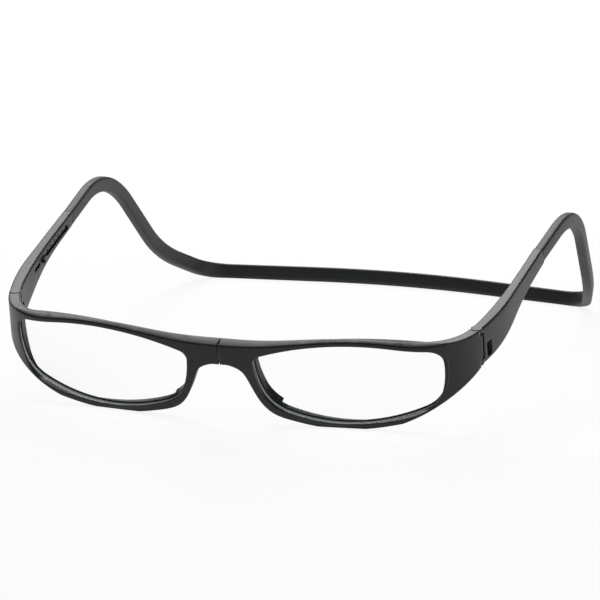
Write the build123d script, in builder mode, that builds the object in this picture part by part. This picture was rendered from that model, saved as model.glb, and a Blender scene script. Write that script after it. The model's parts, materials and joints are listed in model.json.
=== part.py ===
# Reading glasses that part at the bridge, held together there by a pair of magnets.
# Each half front is hinged to a temple sleeve, and the sleeves telescope over the two
# straight ends of one headband that drops behind the ears and goes round the head.
#
# The pieces are drawn as worn: +X to the wearer's left, +Y to the back of the head and
# +Z up, with the origin midway between the top outer corners of the two hinge seams.
# At the end they are set down on the table, on the rims and the back of the headband.

import os
from math import asin, atan, atan2, cos, degrees, radians, sin, tan

from build123d import *

os.makedirs("parts", exist_ok=True)

# Plan of the front
front_width = 138.0
bridge_depth = 23.7
corner_radius = 25.0
corner_lead = 13.0
lean_back = 0.21
lean_out = 0.06
bridge_thickness = 4.3
nasal_thickness = 3.2
rim_thickness = 2.4
endpiece_thickness = 2.9
bridge_gap = 0.3

# Lens opening and rim, seen square on to the leaning front
opening_x = 9.6
opening_base = -25.3
endpiece_width = 6.9
lens_height = 27.0
rim_height = 1.1
nasal_width = 2.0
bridge_height = 6.1
bridge_rise = 0.3
brow_corner_radius = 3.0
temple_corner_radius = 6.0
cheek_corner_radius = 8.0
nose_corner_radius = 11.0

# Lens and its seat
lens_curve = 88.0
lens_thickness = 1.3
lens_setback = 1.25
lens_turn = 9.9
lens_tilt = 10.2
groove_depth = 0.5
lens_clearance = 0.05
seat_wall = 0.35
seat_height = 0.9

# Nose pad behind the nasal side of each rim
pad_length = 17.0
pad_width = 2.0
pad_depth = 5.6
pad_reach = 7.0
pad_turn = -66.0

# Bridge magnet
magnet_radius = 1.5
magnet_length = 3.0
magnet_clearance = 0.03

# Endpiece, seen square on to the corner where the front turns back
endpiece_turn = 33.0
endpiece_drop = 10.9
endpiece_run = 14.2
endpiece_curve = 88.0

# Hinge
hinge_setback = 1.8
knuckle_radius = 1.62
knuckle_top = 1.7
knuckle_base = 9.0
knuckle_round = 0.8
hinge_gap = 0.3
window_start = 4.3
window_length = 3.1
window_top = 5.2
window_base = 9.6
window_round = 0.5
pin_radius = 0.6
pin_clearance = 0.04
pin_cover = 0.45

# Temple sleeve
sleeve_width = 3.3
sleeve_belly_width = 3.9
sleeve_rear_width = 2.9
sleeve_length = 58.0
flare_out = 2.8
sleeve_front_height = 10.8
sleeve_rear_height = 4.7
channel_clearance = 0.2
channel_start = 19.5
slot_start = 29.0
slot_length = 25.0
slot_height = 1.5
slot_drop = 2.9
notch_radius = 0.75
notch_pitch = 3.5
end_slot_start = 21.5
end_slot_length = 6.0

# Headband
band_height = 4.4
band_width = 2.9
band_round = 0.9
band_drop = 2.35
band_splay = 0.6
bar_height = 2.8
bar_width = 1.5
bar_setback = 24.0
shoulder_gap = 0.3
ear_y = 95.2
limb_x = 66.1
limb_y = 125.0
limb_z = -41.8
nape_x = 58.8
nape_y = 147.3
nape_z = -57.3
back_y = 156.5
back_z = -58.7
ear_bend = 40.0
limb_bend = 60.0
nape_bend = 12.0
back_bend = 170.0

# Adjuster peg
peg_length = 2.4
peg_height = 1.2
peg_stand = 0.25
peg_sink = 1.0
peg_round = 0.2

# Edge rounds, flats to stand on, and how far sheets and cuts run past what they meet
sleeve_round = 0.7
foot_flat = 0.12
sheet_rise = 8.0
overrun = 60.0

# Plan of the outer face: a brow arc, a tighter corner arc up to the hinge seam, a flare
# arc into the temple, then a straight run to the back
seam_x = front_width / 2
lead = radians(corner_lead)
corner_x = seam_x - corner_radius * cos(lead)
corner_y = corner_radius * sin(lead)
reach = bridge_depth + corner_y
brow_radius = (corner_x**2 + reach**2 - corner_radius**2) / (2 * (reach - corner_radius))
brow_y = brow_radius - bridge_depth
brow_sweep = degrees(atan2(corner_x, brow_radius - reach))
corner_sweep = 90 - corner_lead - brow_sweep
join_x = corner_x + corner_radius * sin(radians(brow_sweep))
flare_radius = flare_out / (1 - cos(lead))
flare_y = flare_radius * sin(lead)
temple_x = seam_x + flare_out
lens_width = seam_x - opening_x - endpiece_width
lean = atan(lean_back)
sheet_down = (lean_out, lean_back, -1)
sheet_top = Plane(origin=(-lean_out * sheet_rise, -lean_back * sheet_rise, sheet_rise))


def behind_face(x, depth):
    """Plan point at this depth behind the outer face of the front."""
    if x > join_x:
        centre_x, centre_y, radius = corner_x, corner_y, corner_radius
    else:
        centre_x, centre_y, radius = 0, brow_y, brow_radius
    angle = asin((x - centre_x) / radius)
    return (centre_x + (radius - depth) * sin(angle), centre_y - (radius - depth) * cos(angle))


def face_point(across_share, up_share, out=0.0, rise=0.0):
    """Point of the front view, placed by shares of the lens opening."""
    across = opening_x + across_share * lens_width + out
    return (across, opening_base + up_share * lens_height + rise)


# Seen square on, the front leans with this plane; its local Y runs up the leaning face
face_plane = Plane(origin=(0, -bridge_depth, 0), x_dir=(1, 0, 0), z_dir=(0, -1, -lean_back))

# Lens opening: four bowed sides between rounded corners
brow_corner_share = (0, 0.811)
temple_corner_share = (0.990, 0.811)
cheek_corner_share = (0.952, 0.168)
nose_corner_share = (0.080, 0.208)
brow_middle_share = (0.503, 1.0)
temple_middle_share = (1.0, 0.53)
cheek_middle_share = (0.541, 0.012)
nose_middle_share = (0.015, 0.511)

opening_sides = (
    (brow_corner_share, brow_middle_share, temple_corner_share),
    (temple_corner_share, temple_middle_share, cheek_corner_share),
    (cheek_corner_share, cheek_middle_share, nose_corner_share),
    (nose_corner_share, nose_middle_share, brow_corner_share),
)
opening_corners = (
    (brow_corner_share, brow_corner_radius),
    (temple_corner_share, temple_corner_radius),
    (cheek_corner_share, cheek_corner_radius),
    (nose_corner_share, nose_corner_radius),
)
opening_arcs = [ThreePointArc(*[face_point(*share) for share in side]) for side in opening_sides]


def inside_of(arc, outward):
    """All that lies inside one bowed side, carried on past the far side of the opening."""
    inward = arc.arc_center - arc @ 0.5
    with BuildSketch() as area:
        with Locations(arc.arc_center):
            Circle(arc.radius + outward)
            Rectangle(
                front_width,
                2 * (arc.radius + outward),
                rotation=degrees(atan2(inward.Y, inward.X)),
                align=(Align.MIN, Align.CENTER),
            )
    return area.sketch


def opening_outline(outward):
    """Outline of the lens opening, or one this much larger all round."""
    with BuildSketch() as outline:
        for number, arc in enumerate(opening_arcs):
            add(inside_of(arc, outward), mode=Mode.INTERSECT if number else Mode.ADD)
        for share, radius in opening_corners:
            fillet(outline.vertices().sort_by_distance(face_point(*share))[0], radius + outward)
    return outline.sketch


# Outer outline of one half front; past the lens it runs on beyond the endpiece,
# which the side view then trims
brow_shares = [(0, 0.916), (0.274, 0.975), (0.503, 1.004), (0.731, 0.965), (0.950, 0.862), (1, 0.838)]
foot_share = (0.535, -0.012)
cheek_shares = [(0.905, 0.113), (0.765, 0.045), foot_share, (0.330, 0.014), (0.190, 0.079)]
nose_shares = [(0.112, 0.137), (0.053, 0.285), (-0.003, 0.555)]
arch_shares = [(0.62, 1.29), (0.30, 1.03)]
endpiece_reach_share = 1.35
endpiece_base_share = 0.137
endpiece_slope = 0.35

with BuildSketch() as half_outline:
    with BuildLine():
        brow = Spline(
            (0, bridge_rise),
            *[face_point(*share, rise=rim_height) for share in brow_shares],
            face_point(endpiece_reach_share, brow_shares[-1][1], rise=rim_height),
            tangents=[(1, 0), (1, 0)],
        )
        cheek = Spline(
            face_point(1, endpiece_base_share),
            *[face_point(*share, rise=-rim_height) for share in cheek_shares],
            *[face_point(*share, out=-nasal_width) for share in nose_shares],
            *[(across * opening_x, -up * bridge_height) for across, up in arch_shares],
            (0, -bridge_height),
            tangents=[(-1, -endpiece_slope), (-1, 0)],
        )
        Line(brow @ 1, face_point(endpiece_reach_share, endpiece_base_share))
        Line(face_point(endpiece_reach_share, endpiece_base_share), cheek @ 0)
        Line(cheek @ 1, brow @ 0)
    make_face()

# View of the endpiece, which trims the outline where the front turns back; local X runs
# to the rear from the top outer corner of the seam
endpiece_plane = Plane(
    origin=(seam_x, 0, 0),
    x_dir=(sin(radians(endpiece_turn)), cos(radians(endpiece_turn)), 0),
    z_dir=(cos(radians(endpiece_turn)), -sin(radians(endpiece_turn)), 0),
)
under_shares = [(-0.63, 0.75), (0.46, 1.33), (1.75, 2.35)]
over_sweep = 30.0

with BuildSketch() as endpiece_side:
    with BuildLine():
        under = ThreePointArc(
            *[(-along * endpiece_run, -down * endpiece_drop) for along, down in under_shares]
        )
        over = CenterArc((0, endpiece_curve), endpiece_curve, -90, -over_sweep)
        Polyline(
            under @ 1,
            ((under @ 1).X, -overrun),
            (-front_width, -overrun),
            (-front_width, overrun),
            over @ 1,
        )
        Polyline(over @ 0, (overrun, 0), (overrun, (under @ 0).Y), under @ 0)
    make_face()

# Plan of the front sheet, carried on past the seam as far as the knuckle
side_sweep = 1.0
knuckle_sweep = degrees((2 * knuckle_radius + sleeve_width / 2) / flare_radius)
inner_flare_radius = flare_radius - sleeve_width
flare_centre = (temple_x - flare_radius, flare_y)
seam_inside = (seam_x - sleeve_width * cos(lead), sleeve_width * sin(lead))
nasal_share = 0.20
brow_share = 0.50
wing_share = 0.76
endpiece_share = 0.93

with BuildSketch() as front_plan:
    with BuildLine():
        brow_arc = CenterArc((0, brow_y), brow_radius, -90 - side_sweep, brow_sweep + side_sweep)
        CenterArc((corner_x, corner_y), corner_radius, brow_sweep - 90, corner_sweep)
        outer_flare = CenterArc(flare_centre, flare_radius, -corner_lead, knuckle_sweep)
        inner_flare = CenterArc(flare_centre, inner_flare_radius, -corner_lead, knuckle_sweep)
        inside = Spline(
            ((brow_arc @ 0).X, bridge_thickness - bridge_depth),
            (0, bridge_thickness - bridge_depth),
            behind_face(opening_x + nasal_share * lens_width, nasal_thickness),
            behind_face(opening_x + brow_share * lens_width, rim_thickness),
            behind_face(opening_x + wing_share * lens_width, rim_thickness),
            behind_face(opening_x + endpiece_share * lens_width, endpiece_thickness),
            seam_inside,
            tangents=[(1, 0), (sin(lead), cos(lead))],
        )
        Line(outer_flare @ 1, inner_flare @ 1)
        Line(brow_arc @ 0, inside @ 0)
    make_face()

# Lens: a shell between two spheres about one centre
lens_sagitta = lens_height**2 / (8 * lens_curve)
lens_middle = behind_face(opening_x + brow_share * lens_width, lens_setback - lens_sagitta)
lens_z = (opening_base + lens_height / 2) * cos(lean)
lens_facing = Vector(0, -1, 0).rotate(Axis.X, lens_tilt).rotate(Axis.Z, lens_turn)
lens_vertex = Vector(lens_middle[0], lens_middle[1] - lens_z * lean_back, lens_z)
lens_centre = lens_vertex - lens_facing * lens_curve


def lens_shell(outline, thickness):
    """Part of the sphere of the lens, this thick, inside an outline on the face."""
    with BuildPart() as shell:
        with Locations(lens_centre):
            Sphere(lens_curve + thickness / 2)
            Sphere(lens_curve - thickness / 2, mode=Mode.SUBTRACT)
        with BuildSketch(face_plane):
            add(outline)
        extrude(amount=overrun, both=True, mode=Mode.INTERSECT)
    return shell.part


groove_thickness = lens_thickness + 2 * lens_clearance
seat_thickness = groove_thickness + 2 * seat_wall
lens_opening = opening_outline(0)
pad_middle_share = (0.03, 0.42)
pad_outline = opening_outline(pad_width)
lens_seat = lens_shell(opening_outline(seat_height), seat_thickness)
lens_groove = lens_shell(opening_outline(groove_depth), groove_thickness)
lens_disc = lens_shell(opening_outline(groove_depth - lens_clearance), lens_thickness)

# Hinge axis, in the middle of the wall and leaning with it; local X runs to the rear
hinge_turn = lead - hinge_setback / flare_radius
hinge_lean = lean_out - lean_back * tan(hinge_turn)
hinge_reach = flare_radius - sleeve_width / 2
hinge_place = Vector(*flare_centre) + Vector(cos(hinge_turn), -sin(hinge_turn)) * hinge_reach
hinge_plane = Plane(
    origin=hinge_place, x_dir=(sin(hinge_turn), cos(hinge_turn), 0), z_dir=(-hinge_lean, 0, 1)
)
hinge_front = Plane(origin=hinge_place, x_dir=hinge_plane.z_dir, z_dir=-hinge_plane.x_dir)

# Rest: the glasses stand on the lowest place of each rim and on the back of the headband
rim_foot_x, rim_foot_v = face_point(*foot_share, rise=-rim_height)
rim_foot_y = behind_face(rim_foot_x, 0)[1]
rim_foot_z = (rim_foot_v + sin(lean) * (rim_foot_y + bridge_depth)) * cos(lean)
rim_foot_y = rim_foot_y - lean_back * rim_foot_z
rest_angle = degrees(atan2(rim_foot_z - back_z + band_height / 2, back_y - rim_foot_y))
table = Plane(
    origin=(0, rim_foot_y, rim_foot_z + foot_flat),
    x_dir=(1, 0, 0),
    z_dir=(0, sin(radians(rest_angle)), cos(radians(rest_angle))),
)

# Magnet in a pocket of the half bridge, flush with its end
magnet_drop = bridge_height / 2
magnet_plane = Plane.YZ.offset(bridge_gap / 2)
magnet_place = (-bridge_depth + bridge_thickness / 2 + lean_back * magnet_drop, -magnet_drop)

# Knuckle of the front, a barrel about the hinge pin
with BuildPart() as knuckle:
    with BuildSketch(hinge_plane.offset(-knuckle_base)):
        Circle(knuckle_radius)
    extrude(amount=knuckle_base - knuckle_top)
    fillet(knuckle.edges().filter_by(GeomType.CIRCLE), knuckle_round)

# Half front: rim, half bridge, endpiece and hinge knuckle
with BuildPart() as front_half_left:
    with BuildSketch(sheet_top):
        add(front_plan.sketch)
    extrude(amount=overrun, dir=sheet_down)
    with BuildSketch(face_plane):
        add(half_outline.sketch)
    extrude(amount=overrun, both=True, mode=Mode.INTERSECT)
    with BuildSketch(endpiece_plane):
        add(endpiece_side.sketch)
    extrude(amount=front_width, both=True, mode=Mode.INTERSECT)
    split(bisect_by=Plane.YZ.offset(bridge_gap / 2), keep=Keep.TOP)
    with BuildSketch(face_plane):
        add(pad_outline)
        with Locations(face_point(*pad_middle_share)):
            Ellipse(pad_length / 2, pad_reach / 2, rotation=pad_turn, mode=Mode.INTERSECT)
    extrude(amount=-pad_depth)
    add(lens_seat)
    with BuildSketch(face_plane):
        add(lens_opening)
    extrude(amount=overrun, both=True, mode=Mode.SUBTRACT)
    add(lens_groove, mode=Mode.SUBTRACT)
    split(bisect_by=hinge_front, keep=Keep.TOP)
    with BuildSketch(hinge_plane.offset(-knuckle_top)):
        Circle(knuckle_radius + hinge_gap)
    extrude(amount=overrun, mode=Mode.SUBTRACT)
    with BuildSketch(hinge_plane.offset(-knuckle_base)):
        Circle(knuckle_radius + hinge_gap)
    extrude(amount=-overrun, mode=Mode.SUBTRACT)
    add(knuckle.part)
    with BuildSketch(hinge_plane):
        Circle(pin_radius + pin_clearance)
    extrude(amount=-overrun, mode=Mode.SUBTRACT)
    # Pocket for the magnet, open at the end of the bridge
    with BuildSketch(magnet_plane):
        with Locations(magnet_place):
            Circle(magnet_radius + magnet_clearance)
    extrude(amount=magnet_length + magnet_clearance, mode=Mode.SUBTRACT)
    split(bisect_by=table, keep=Keep.TOP)

with BuildPart() as lens_left:
    add(lens_disc)

with BuildPart() as bridge_magnet_left:
    with BuildSketch(magnet_plane):
        with Locations(magnet_place):
            Circle(magnet_radius)
    extrude(amount=magnet_length)

# Temple sleeve: side view, plan and the straight channel for the end of the headband
belly_shares = [(0.09, 1.0), (0.28, 0.81), (0.46, 0.455), (0.62, 0.20), (0.80, 0.07), (1.0, 0.0)]
sleeve_taper = sleeve_front_height - sleeve_rear_height

with BuildSketch(Plane.YZ) as sleeve_side:
    with BuildLine():
        belly = Spline(
            (-pin_radius, -endpiece_drop),
            *[
                (along * sleeve_length, -sleeve_rear_height - deep * sleeve_taper)
                for along, deep in belly_shares
            ],
        )
        Polyline(belly @ 1, (sleeve_length, 0), (-pin_radius, 0), belly @ 0)
    make_face()

flare_start = -corner_lead - knuckle_sweep
belly_share = 0.27
with BuildSketch() as sleeve_plan:
    with BuildLine():
        outside = CenterArc(flare_centre, flare_radius, flare_start, -flare_start)
        within = CenterArc(flare_centre, inner_flare_radius, flare_start, knuckle_sweep)
        inner = Spline(
            within @ 1,
            (temple_x - sleeve_belly_width, belly_share * sleeve_length),
            (temple_x - sleeve_rear_width, sleeve_length),
            tangents=[within % 1, (0, 1)],
        )
        Polyline(
            outside @ 1,
            (temple_x, sleeve_length + overrun),
            (temple_x - sleeve_rear_width, sleeve_length + overrun),
            inner @ 1,
        )
        Line(outside @ 0, within @ 0)
    make_face()

band_x = temple_x - sleeve_rear_width / 2 + lean_out * band_drop
slot_middle = slot_start + slot_length / 2
notch_count = int(slot_length / notch_pitch)
window_middle = window_start + window_length / 2

# Ears of the sleeve, above and below the knuckle
with BuildPart() as ears:
    with BuildSketch(hinge_plane.offset(hinge_gap - knuckle_top)):
        Circle(knuckle_radius)
    extrude(amount=knuckle_top)
    with BuildSketch(hinge_plane.offset(-knuckle_base - hinge_gap)):
        Circle(knuckle_radius)
    extrude(amount=-endpiece_drop)
    add(extrude(sleeve_side.sketch, amount=front_width, both=True, mode=Mode.PRIVATE), mode=Mode.INTERSECT)

with BuildPart() as temple_sleeve_left:
    with BuildSketch(sheet_top):
        add(sleeve_plan.sketch)
    extrude(amount=overrun, dir=sheet_down)
    add(extrude(sleeve_side.sketch, amount=front_width, both=True, mode=Mode.PRIVATE), mode=Mode.INTERSECT)
    ridge_length = sleeve_front_height + hinge_gap
    ridges = temple_sleeve_left.edges().filter_by(lambda edge: edge.length > ridge_length)
    fillet(ridges, sleeve_round)
    split(bisect_by=hinge_front, keep=Keep.BOTTOM)
    with BuildSketch(hinge_plane.offset(-knuckle_base - hinge_gap)):
        Circle(knuckle_radius + hinge_gap)
    extrude(amount=knuckle_base - knuckle_top + 2 * hinge_gap, mode=Mode.SUBTRACT)
    add(ears.part)
    with BuildSketch(hinge_plane.offset(-pin_cover)):
        Circle(pin_radius)
    extrude(amount=-overrun, mode=Mode.SUBTRACT)
    # Window behind the knuckle
    with BuildSketch(Plane.YZ):
        with Locations((window_middle, -(window_top + window_base) / 2)):
            RectangleRounded(window_length, window_base - window_top, window_round)
    extrude(amount=front_width, mode=Mode.SUBTRACT)
    # Channel, open at the rear
    with BuildSketch(Plane.XZ.offset(-channel_start)):
        with Locations((band_x, -band_drop)):
            Rectangle(bar_width + 2 * channel_clearance, bar_height + 2 * channel_clearance)
    extrude(amount=-sleeve_length, mode=Mode.SUBTRACT)
    # Notched slot and the plain slot ahead of it, in the inner wall only
    with BuildSketch(Plane.YZ.offset(band_x)):
        with Locations((slot_middle, -slot_drop)):
            Rectangle(slot_length, slot_height)
        with Locations((slot_middle, -slot_drop + slot_height / 2)):
            with GridLocations(notch_pitch, slot_height, notch_count, 1):
                Circle(notch_radius)
        with Locations((end_slot_start + end_slot_length / 2, -slot_drop)):
            SlotOverall(end_slot_length, slot_height)
    extrude(amount=-sleeve_width, mode=Mode.SUBTRACT)

with BuildPart() as hinge_pin_left:
    with BuildSketch(hinge_plane.offset(-pin_cover)):
        Circle(pin_radius)
    extrude(amount=2 * pin_cover - endpiece_drop)

# Headband: straight bars at both ends, and between them one strap on tangent arcs
shoulder_y = sleeve_length + shoulder_gap
half_route = [
    (band_x, shoulder_y, -band_drop),
    (band_x + band_splay, ear_y, -band_drop),
    (limb_x, limb_y, limb_z),
    (nape_x, nape_y, nape_z),
]
route = half_route + [(0, back_y, back_z)] + [(-x, y, z) for x, y, z in reversed(half_route)]
half_bends = [ear_bend, limb_bend, nape_bend]

with BuildPart() as headband:
    with BuildLine():
        strap_line = FilletPolyline(*route, radius=half_bends + [back_bend] + half_bends[::-1])
    with BuildSketch(Plane(origin=route[0], x_dir=(1, 0, 0), z_dir=(0, 1, 0))):
        RectangleRounded(band_width, band_height, band_round)
    sweep()
    with BuildSketch(Plane.XZ.offset(-bar_setback)):
        with Locations((band_x, -band_drop), (-band_x, -band_drop)):
            Rectangle(bar_width, bar_height)
    extrude(amount=bar_setback - shoulder_y)
    # Pockets for the pegs
    with BuildSketch(Plane.YZ.offset(band_x - bar_width / 2)):
        with Locations((slot_start + hinge_gap + peg_length / 2, -slot_drop)):
            Rectangle(peg_length, peg_height)
    peg_pocket = extrude(amount=peg_sink, mode=Mode.SUBTRACT)
    mirror(peg_pocket, about=Plane.YZ, mode=Mode.SUBTRACT)
    split(bisect_by=table, keep=Keep.TOP)

# Peg, pressed into the bar through the slot
peg_reach = sleeve_belly_width - sleeve_rear_width / 2 - bar_width / 2 + peg_stand
with BuildPart() as adjuster_peg_left:
    with BuildSketch(Plane.YZ.offset(band_x - bar_width / 2 + peg_sink)):
        with Locations((slot_start + hinge_gap + peg_length / 2, -slot_drop)):
            Rectangle(peg_length, peg_height)
    extrude(amount=-peg_sink - peg_reach)
    fillet(adjuster_peg_left.faces().sort_by(Axis.X)[0].edges(), peg_round)

with BuildPart() as front_half_right:
    mirror(front_half_left.part, about=Plane.YZ)

with BuildPart() as lens_right:
    mirror(lens_left.part, about=Plane.YZ)

with BuildPart() as bridge_magnet_right:
    mirror(bridge_magnet_left.part, about=Plane.YZ)

with BuildPart() as temple_sleeve_right:
    mirror(temple_sleeve_left.part, about=Plane.YZ)

with BuildPart() as hinge_pin_right:
    mirror(hinge_pin_left.part, about=Plane.YZ)

with BuildPart() as adjuster_peg_right:
    mirror(adjuster_peg_left.part, about=Plane.YZ)

pieces = {
    "headband": headband,
    "adjuster_peg_left": adjuster_peg_left,
    "adjuster_peg_right": adjuster_peg_right,
    "temple_sleeve_left": temple_sleeve_left,
    "temple_sleeve_right": temple_sleeve_right,
    "hinge_pin_left": hinge_pin_left,
    "hinge_pin_right": hinge_pin_right,
    "front_half_left": front_half_left,
    "front_half_right": front_half_right,
    "lens_left": lens_left,
    "lens_right": lens_right,
    "bridge_magnet_left": bridge_magnet_left,
    "bridge_magnet_right": bridge_magnet_right,
}

# Set down on the table, with the origin under the middle of the whole
laid = Rotation(rest_angle, 0, 0)
lift = -(laid * Pos(*table.origin)).position.Z
front_y = (laid * front_half_left.part).bounding_box().min.Y
rear_y = (laid * headband.part).bounding_box().max.Y
rest = Pos(0, -(front_y + rear_y) / 2, lift) * laid

for name, piece in pieces.items():
    piece.part.move(rest)
    piece.part.label = name
    export_step(piece.part, f"parts/{name}.step")

print("rest angle", rest_angle)
print("worn origin", rest.position)
print("left hinge place", (rest * Pos(*hinge_place)).position)
print("left hinge axis", hinge_plane.z_dir.rotate(Axis.X, rest_angle))
print("slide axis", Vector(0, -1, 0).rotate(Axis.X, rest_angle))
print("head of the temples", (rest * Pos(band_x, sleeve_length, -band_drop)).position)
print("back of the headband", (rest * Pos(0, back_y, back_z)).position)
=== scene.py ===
# Reading glasses that part at a magnetic bridge, standing on a white table
import json
import math

import bmesh
import bpy
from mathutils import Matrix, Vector


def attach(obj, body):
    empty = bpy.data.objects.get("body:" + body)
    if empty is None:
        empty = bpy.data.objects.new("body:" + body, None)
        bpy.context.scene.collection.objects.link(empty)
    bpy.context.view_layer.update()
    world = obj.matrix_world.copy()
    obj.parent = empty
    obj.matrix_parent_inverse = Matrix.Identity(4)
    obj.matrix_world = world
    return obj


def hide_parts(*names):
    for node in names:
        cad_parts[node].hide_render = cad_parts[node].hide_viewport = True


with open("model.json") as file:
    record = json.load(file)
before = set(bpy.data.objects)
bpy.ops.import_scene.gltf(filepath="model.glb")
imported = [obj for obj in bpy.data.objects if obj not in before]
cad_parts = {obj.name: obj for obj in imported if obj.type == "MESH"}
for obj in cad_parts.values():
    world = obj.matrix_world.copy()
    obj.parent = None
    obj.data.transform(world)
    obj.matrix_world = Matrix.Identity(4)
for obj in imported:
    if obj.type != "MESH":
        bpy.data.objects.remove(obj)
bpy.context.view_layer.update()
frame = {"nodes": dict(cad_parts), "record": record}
nodes = frame["nodes"]
bodies = frame["record"]["behaviour"]["bodies"]
bodyOf = {node: body for body, held in bodies.items() for node in held}
print("frame loaded:", len(nodes), "nodes")


class Socket:
    # a node's output that takes part in sums, so that masks read as plain maths
    def __init__(self, tree, plug=None):
        self.tree = tree
        self.plug = plug

    def make(self, kind, settings=None, values=None, output=0):
        node = self.tree.nodes.new(kind)
        for key, value in (settings or {}).items():
            setattr(node, key, value)
        for key, value in (values or {}).items():
            if isinstance(value, Socket):
                self.tree.links.new(value.plug, node.inputs[key])
            else:
                node.inputs[key].default_value = value
        return Socket(self.tree, node.outputs[output] if len(node.outputs) else None)

    def sibling(self, name):
        # another output of the same node
        return Socket(self.tree, self.plug.node.outputs[name])

    def calculate(self, operation, first, second):
        return self.make("ShaderNodeMath", {"operation": operation}, {0: first, 1: second})

    def __add__(self, other):
        return self.calculate("ADD", self, other)

    def __radd__(self, other):
        return self.calculate("ADD", other, self)

    def __sub__(self, other):
        return self.calculate("SUBTRACT", self, other)

    def __rsub__(self, other):
        return self.calculate("SUBTRACT", other, self)

    def __mul__(self, other):
        return self.calculate("MULTIPLY", self, other)

    def __truediv__(self, other):
        return self.calculate("DIVIDE", self, other)

    def __pow__(self, other):
        return self.calculate("POWER", self, other)

    def capped(self):
        return self.make("ShaderNodeClamp", None, {"Value": self})

    def mixedWith(self, first, second):
        # this value fades one colour into the other
        values = {"Factor": self, 6: (*first, 1), 7: (*second, 1)}
        return self.make("ShaderNodeMix", {"data_type": "RGBA"}, values, 2)

    def objectPlace(self):
        return self.make("ShaderNodeTexCoord", output=3)

    def speckle(self, scale, detail):
        values = {"Vector": self.objectPlace(), "Scale": scale, "Detail": detail}
        return self.make("ShaderNodeTexNoise", None, values)

    def seenAsBackground(self):
        # 1 where the camera, a shine or a clear lens looks straight at it
        rays = self.make("ShaderNodeLightPath")
        seen = rays.sibling("Is Camera Ray") + rays.sibling("Is Glossy Ray")
        return (seen + rays.sibling("Is Transmission Ray")).capped()


def newMaterial(name):
    material = bpy.data.materials.new(name)
    material.use_nodes = True
    material.node_tree.nodes.clear()
    return material, Socket(material.node_tree)


def finishMaterial(maker, shader):
    maker.make("ShaderNodeOutputMaterial", None, {"Surface": shader})


# Moulded plastic: a fine stipple from the mould, a little cloudiness in the sheen
mouldedPlastics = {
    "frontPlastic": {
        "colour": (0.0105, 0.0115, 0.0140), "cloudColour": (0.0150, 0.0160, 0.0190),
        "roughness": 0.40, "roughnessSpread": 0.06, "specular": 0.26,
        "edgeRound": 0.0006, "edgeRoughness": 0.14,
        "stippleScale": 2600, "stippleDepth": 0.00003, "cloudScale": 60,
    },
    "sleevePlastic": {
        "colour": (0.013, 0.0135, 0.0155), "cloudColour": (0.019, 0.0195, 0.0215),
        "roughness": 0.42, "roughnessSpread": 0.06, "specular": 0.30,
        "edgeRound": 0.0004, "edgeRoughness": 0.14,
        "stippleScale": 2600, "stippleDepth": 0.00003, "cloudScale": 60,
    },
    "bandPlastic": {
        "colour": (0.018, 0.0200, 0.0215), "cloudColour": (0.028, 0.0300, 0.0315),
        "roughness": 0.50, "roughnessSpread": 0.08, "specular": 0.32,
        "edgeRound": 0.0004, "edgeRoughness": 0.20,
        "stippleScale": 2000, "stippleDepth": 0.00003, "cloudScale": 40,
    },
    "pegPlastic": {
        "colour": (0.016, 0.0165, 0.018), "cloudColour": (0.022, 0.0225, 0.024),
        "roughness": 0.36, "roughnessSpread": 0.05, "specular": 0.45,
        "edgeRound": 0.0001, "edgeRoughness": 0.20,
        "stippleScale": 3000, "stippleDepth": 0.00002, "cloudScale": 200,
    },
}
edgeWear = {"samples": 6, "reach": 7}


def mouldedPlastic(name):
    look = mouldedPlastics[name]
    material, maker = newMaterial(name)
    cloud = maker.speckle(look["cloudScale"], 3)
    stipple = maker.speckle(look["stippleScale"], 1)
    colour = cloud.mixedWith(look["colour"], look["cloudColour"])
    rounded = maker.make("ShaderNodeBevel", {"samples": edgeWear["samples"]}, {"Radius": look["edgeRound"]})
    flat = maker.make("ShaderNodeNewGeometry", output=1)
    turned = maker.make("ShaderNodeVectorMath", {"operation": "DOT_PRODUCT"}, {0: rounded, 1: flat}, 1)
    rubbed = ((1 - turned) * edgeWear["reach"]).capped()        # edges are smoother than the faces
    roughness = (look["roughness"] + (cloud - 0.5) * look["roughnessSpread"]
                 + (stipple - 0.5) * look["roughnessSpread"])
    roughness = (roughness + (look["edgeRoughness"] - roughness) * rubbed).capped()
    bump = maker.make("ShaderNodeBump", None, {
        "Height": stipple, "Strength": 1, "Distance": look["stippleDepth"], "Normal": rounded})
    finishMaterial(maker, maker.make("ShaderNodeBsdfPrincipled", None, {
        "Base Color": colour, "Roughness": roughness, "Normal": bump,
        "Specular IOR Level": look["specular"], "IOR": 1.5}))
    return material


groundEdge = {
    "colour": (0.42, 0.47, 0.49), "dustColour": (0.60, 0.65, 0.66),
    "roughness": 0.6, "roughnessSpread": 0.2, "gritScale": 4000, "facingBelow": 0.6,
}


def groundLensEdge():
    # the lens is clear on its two faces, but its ground edge in the groove is frosted
    material, maker = newMaterial("groundLensEdge")
    grit = maker.speckle(groundEdge["gritScale"], 2)
    roughness = (groundEdge["roughness"] + (grit - 0.5) * groundEdge["roughnessSpread"]).capped()
    finishMaterial(maker, maker.make("ShaderNodeBsdfPrincipled", None, {
        "Base Color": grit.mixedWith(groundEdge["colour"], groundEdge["dustColour"]),
        "Roughness": roughness}))
    return material


metals = {
    "pinSteel": {"colour": (0.55, 0.55, 0.56), "roughness": 0.28, "grain": 3000, "spread": 0.12},
    "magnetNickel": {"colour": (0.60, 0.59, 0.57), "roughness": 0.22, "grain": 1500, "spread": 0.10},
}


def metal(name):
    look = metals[name]
    material, maker = newMaterial(name)
    grain = maker.speckle(look["grain"], 2)
    roughness = (look["roughness"] + (grain - 0.5) * look["spread"]).capped()
    finishMaterial(maker, maker.make("ShaderNodeBsdfPrincipled", None, {
        "Base Color": (*look["colour"], 1), "Metallic": 1, "Roughness": roughness}))
    return material


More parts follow.
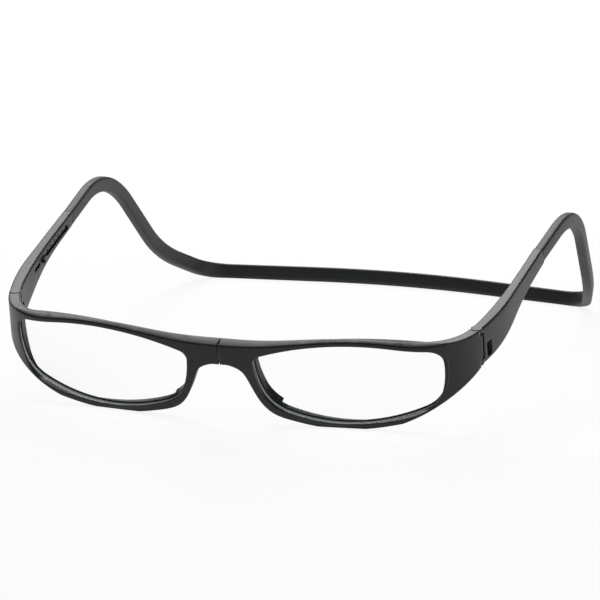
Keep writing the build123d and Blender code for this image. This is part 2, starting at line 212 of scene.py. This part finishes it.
lensLook = {
    "facingShine": 0.006, "edgeShine": 0.4, "edgePower": 4,
    "roughness": 0.03, "filmRoughness": 0.03, "filmScale": 90,
}


def lensPlastic():
    material, maker = newMaterial("lensPlastic")
    facing = maker.make("ShaderNodeLayerWeight", None, {"Blend": 0.5}, 1)
    clear = maker.make("ShaderNodeBsdfTransparent", None, {"Color": (1, 1, 1, 1)})
    film = maker.speckle(lensLook["filmScale"], 2)
    shine = maker.make("ShaderNodeBsdfPrincipled", None, {
        "Base Color": (0, 0, 0, 1), "Specular IOR Level": 0.5,
        "Roughness": lensLook["roughness"] + film * lensLook["filmRoughness"]})
    share = facing ** lensLook["edgePower"] * lensLook["edgeShine"] + lensLook["facingShine"]
    finishMaterial(maker, maker.make("ShaderNodeMixShader", None, {0: share, 1: clear, 2: shine}))
    return material


materials = {name: mouldedPlastic(name) for name in mouldedPlastics}
materials.update({name: metal(name) for name in metals})
materials["lensPlastic"] = lensPlastic()
materials["groundLensEdge"] = groundLensEdge()
print("materials made:", len(materials))

finishOf = {
    "headband": "bandPlastic",
    "adjuster_peg": "pegPlastic",
    "temple_sleeve": "sleevePlastic",
    "hinge_pin": "pinSteel",
    "front_half": "frontPlastic",
    "lens": "lensPlastic",
    "bridge_magnet": "magnetNickel",
}


def addPiece(name, shell, material):
    mesh = bpy.data.meshes.new(name)
    shell.to_mesh(mesh)
    shell.free()
    mesh.materials.append(material)
    piece = bpy.data.objects.new(name, mesh)
    bpy.context.scene.collection.objects.link(piece)
    return piece


# The long edges of the brow and the endpiece are sharp in the solids. They are rounded here, run
# by run: a run is a chain of sharp convex edges, and it counts when it is long, open and high up
frontRounds = {
    "width": 0.00045, "segments": 4, "flatWithin": 0.5, "creasedAt": 35, "sharperThan": 45,
    "inLine": 0.94, "shortestRun": 0.006, "above": 0.02, "endGap": 0.0003,
}


def turnAcross(edge):
    return math.degrees(edge.calc_face_angle(0)) if edge.is_manifold else 0


def isSharp(edge):
    return edge.is_convex and turnAcross(edge) > frontRounds["sharperThan"]


def creasesAt(corner):
    return [edge for edge in corner.link_edges if turnAcross(edge) > frontRounds["creasedAt"]]


def isInside(corner):
    # two sharp edges meet here, nearly in line
    creases = creasesAt(corner)
    if len(creases) != 2 or not all(map(isSharp, creases)):
        return False
    ways = [(edge.other_vert(corner).co - corner.co).normalized() for edge in creases]
    return ways[0].dot(ways[1]) < -frontRounds["inLine"]


def canRound(corner):
    # inside a run, or the corner of a box as at the end of the bridge
    creases = creasesAt(corner)
    return isInside(corner) or len(creases) == 3 and all(map(isSharp, creases))


def runFrom(first, seen):
    run = [first]
    for edge in run:        # the run grows while it is walked
        for corner in filter(isInside, edge.verts):
            nexts = [other for other in corner.link_edges if isSharp(other) and other not in seen]
            seen.update(nexts)
            run.extend(nexts)
    return run


def countsAsRun(run):
    corners = [corner for edge in run for corner in edge.verts]
    length = sum(edge.calc_length() for edge in run)
    isHigh = min(corner.co.z for corner in corners) > frontRounds["above"]
    return isHigh and length > frontRounds["shortestRun"] and not all(map(isInside, corners))


def roundTopEdges(shell):
    bmesh.ops.dissolve_limit(shell, angle_limit=math.radians(frontRounds["flatWithin"]), verts=shell.verts,
                             edges=shell.edges, use_dissolve_boundaries=False)
    longEdges, seen = [], set()
    for first in [edge for edge in shell.edges if isSharp(edge)]:
        if first not in seen:
            seen.add(first)
            run = runFrom(first, seen)
            if countsAsRun(run):
                longEdges += run
    rounded = []
    for edge in longEdges:
        rounded.append(edge)
        ends = [corner for corner in edge.verts if not canRound(corner)]
        if ends and edge.calc_length() > 2 * frontRounds["endGap"]:
            # the round stops just short of a corner that it can't turn
            share = frontRounds["endGap"] / edge.calc_length()
            rounded.append(bmesh.utils.edge_split(edge, ends[0], share)[0])
    rounded = [edge for edge in rounded if all(map(canRound, edge.verts))]
    bmesh.ops.bevel(shell, geom=rounded, affect="EDGES", offset=frontRounds["width"], offset_type="OFFSET",
                    segments=frontRounds["segments"], profile=0.5, material=-1, clamp_overlap=False,
                    loop_slide=True)
    print("front edges rounded:", len(rounded))


# Pieces copied from the solids, with their facets joined and their faces shaded smooth
smoothing = {"joinWithin": 0.000002, "creaseAngle": 28}


def smoothCopy(nodeName, materialName):
    shell = bmesh.new()
    shell.from_mesh(nodes[nodeName].data)
    bmesh.ops.remove_doubles(shell, verts=shell.verts, dist=smoothing["joinWithin"])
    bmesh.ops.dissolve_degenerate(shell, edges=shell.edges, dist=smoothing["joinWithin"])
    if nodeName.startswith("front_half"):
        roundTopEdges(shell)
    for face in shell.faces:
        face.smooth = True
        face.material_index = 0
    crease = math.radians(smoothing["creaseAngle"])
    for edge in shell.edges:
        edge.smooth = edge.is_manifold and edge.calc_face_angle(0) < crease
    piece = addPiece(nodeName + "_shell", shell, materials[materialName])
    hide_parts(nodeName)
    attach(piece, bodyOf[nodeName])
    return piece


def frostEdge(lens):
    # faces that don't look along the lens's axis are its ground edge
    mesh = lens.data
    mesh.materials.append(materials["groundLensEdge"])
    outward = Vector()
    for face in mesh.polygons:
        if face.normal.y < 0:
            outward += face.normal * face.area
    outward.normalize()
    for face in mesh.polygons:
        if abs(face.normal.dot(outward)) < groundEdge["facingBelow"]:
            face.material_index = 1


for nodeName in sorted(nodes):
    kind = nodeName.removesuffix("_left").removesuffix("_right")
    piece = smoothCopy(nodeName, finishOf[kind])
    if kind == "lens":
        frostEdge(piece)
print("pieces dressed")

# The table falls away in front of the rims, a little steeper than the temples and the hinges lean,
# so that it hides little of a front that slides or swings forward and down
table = {
    "side": 8.0, "colour": (0.95, 0.95, 0.95), "glow": 0.88,
    "brink": -0.0945, "foot": -0.35, "fall": 0.24,
}


def whiteTable():
    material, maker = newMaterial("whiteTable")
    card = maker.make("ShaderNodeBsdfDiffuse", None, {"Color": (*table["colour"], 1)})
    glow = maker.make("ShaderNodeEmission", None, {"Color": (1, 1, 1, 1), "Strength": 1})
    share = maker.seenAsBackground() * table["glow"]
    finishMaterial(maker, maker.make("ShaderNodeMixShader", None, {0: share, 1: card, 2: glow}))
    top = bmesh.new()
    bmesh.ops.create_grid(top, x_segments=1, y_segments=3, size=table["side"] / 2)
    low = (table["foot"] - table["brink"]) * table["fall"]
    rows = [(-table["side"] / 2, low), (table["foot"], low), (table["brink"], 0), (table["side"] / 2, 0)]
    for corner in top.verts:
        corner.co.y, corner.co.z = rows[round((corner.co.y / table["side"] + 0.5) * 3)]
    addPiece("table_top", top, material)


whiteTable()

room = {"fill": 0.35}


def whiteRoom():
    world = bpy.data.worlds.new("whiteRoom")
    world.use_nodes = True
    world.node_tree.nodes.clear()
    bpy.context.scene.world = world
    maker = Socket(world.node_tree)
    strength = maker.seenAsBackground() * (1 - room["fill"]) + room["fill"]
    sky = maker.make("ShaderNodeBackground", None, {"Color": (1, 1, 1, 1), "Strength": strength})
    maker.make("ShaderNodeOutputWorld", None, {"Surface": sky})


whiteRoom()

# A dome over the table that only shines see, a painted reflection: its faint glow paints the thin black
# lines along the edges, and a brighter glow low at the front paints a grey reflection
reflectionTent = {
    # glow levels of the painted reflection: a faint dark glow over the whole dome, a brighter grey one low
    # at the front
    "radius": 2.1, "around": 48, "up": 24, "foot": 0.16, "paintedDarkSheet": 0.012,
    "front": 0.40, "frontFrom": -0.25, "frontFade": 2, "frontHeight": 0.5,
}


def paintReflectionTent():
    material, maker = newMaterial("paintedReflectionGlow")
    parts = maker.make("ShaderNodeSeparateXYZ", None, {0: maker.objectPlace()})
    depth = parts.sibling("Y") / reflectionTent["radius"]
    height = parts.sibling("Z") / reflectionTent["radius"]
    # painted reflection: a grey glow on the low front of the dome
    paintedFrontGlow = ((reflectionTent["frontFrom"] - depth) * reflectionTent["frontFade"]).capped()
    paintedFrontGlow = paintedFrontGlow * (1 - height / reflectionTent["frontHeight"]).capped()
    # the dome glows though it is no lamp; this glow is the painted reflection that shines see
    finishMaterial(maker, maker.make("ShaderNodeEmission", None, {
        "Color": (1, 1, 1, 1), "Strength": paintedFrontGlow * reflectionTent["front"] + reflectionTent["paintedDarkSheet"]}))
    paintedDarkSheet = bmesh.new()
    bmesh.ops.create_uvsphere(paintedDarkSheet, u_segments=reflectionTent["around"], v_segments=reflectionTent["up"], radius=reflectionTent["radius"])
    bmesh.ops.bisect_plane(paintedDarkSheet, geom=paintedDarkSheet.verts[:] + paintedDarkSheet.edges[:] + paintedDarkSheet.faces[:], clear_inner=True,
                           plane_co=(0, 0, reflectionTent["foot"]), plane_no=(0, 0, 1))
    piece = addPiece("painted_reflection_tent", paintedDarkSheet, material)
    # seen only in shines: a painted reflection that hides nothing and casts no shadow
    piece.visible_camera = False
    piece.visible_diffuse = False
    piece.visible_transmission = False
    piece.visible_shadow = False


paintReflectionTent()

lamps = {
    "rearSoftbox": {"place": (-0.45, 1.25, 1.35), "aim": (0, 0, 0.02), "size": 1.4, "power": 32},
    "rightSoftbox": {"place": (1.5, -0.1, 0.7), "aim": (0.05, 0, 0), "size": 0.9, "power": 5},
}


def softbox(name):
    lamp = lamps[name]
    light = bpy.data.lights.new(name, "AREA")
    light.size = lamp["size"]
    light.energy = lamp["power"]
    holder = bpy.data.objects.new(name, light)
    holder.location = lamp["place"]
    holder.rotation_euler = (Vector(lamp["aim"]) - Vector(lamp["place"])).to_track_quat("-Z", "Y").to_euler()
    bpy.context.scene.collection.objects.link(holder)


for name in lamps:
    softbox(name)

# Camera, matched to the photograph's frame of 600 x 600
cameraLook = {
    "place": (0.713371, -2.397567, 0.601770),
    "turn": (76.818210, -0.700409, 16.825504),
    "lens": 534.6587, "sensor": 36.0, "farClip": 12.0,
}
camera = bpy.data.cameras.new("photoCamera")
camera.sensor_width = cameraLook["sensor"]
camera.lens = cameraLook["lens"]
camera.clip_end = cameraLook["farClip"]
cameraHolder = bpy.data.objects.new("photoCamera", camera)
cameraHolder.location = cameraLook["place"]
cameraHolder.rotation_euler = [math.radians(angle) for angle in cameraLook["turn"]]
bpy.context.scene.collection.objects.link(cameraHolder)
bpy.context.scene.camera = cameraHolder
bpy.context.scene.view_settings.view_transform = "Standard"
print("stage set")
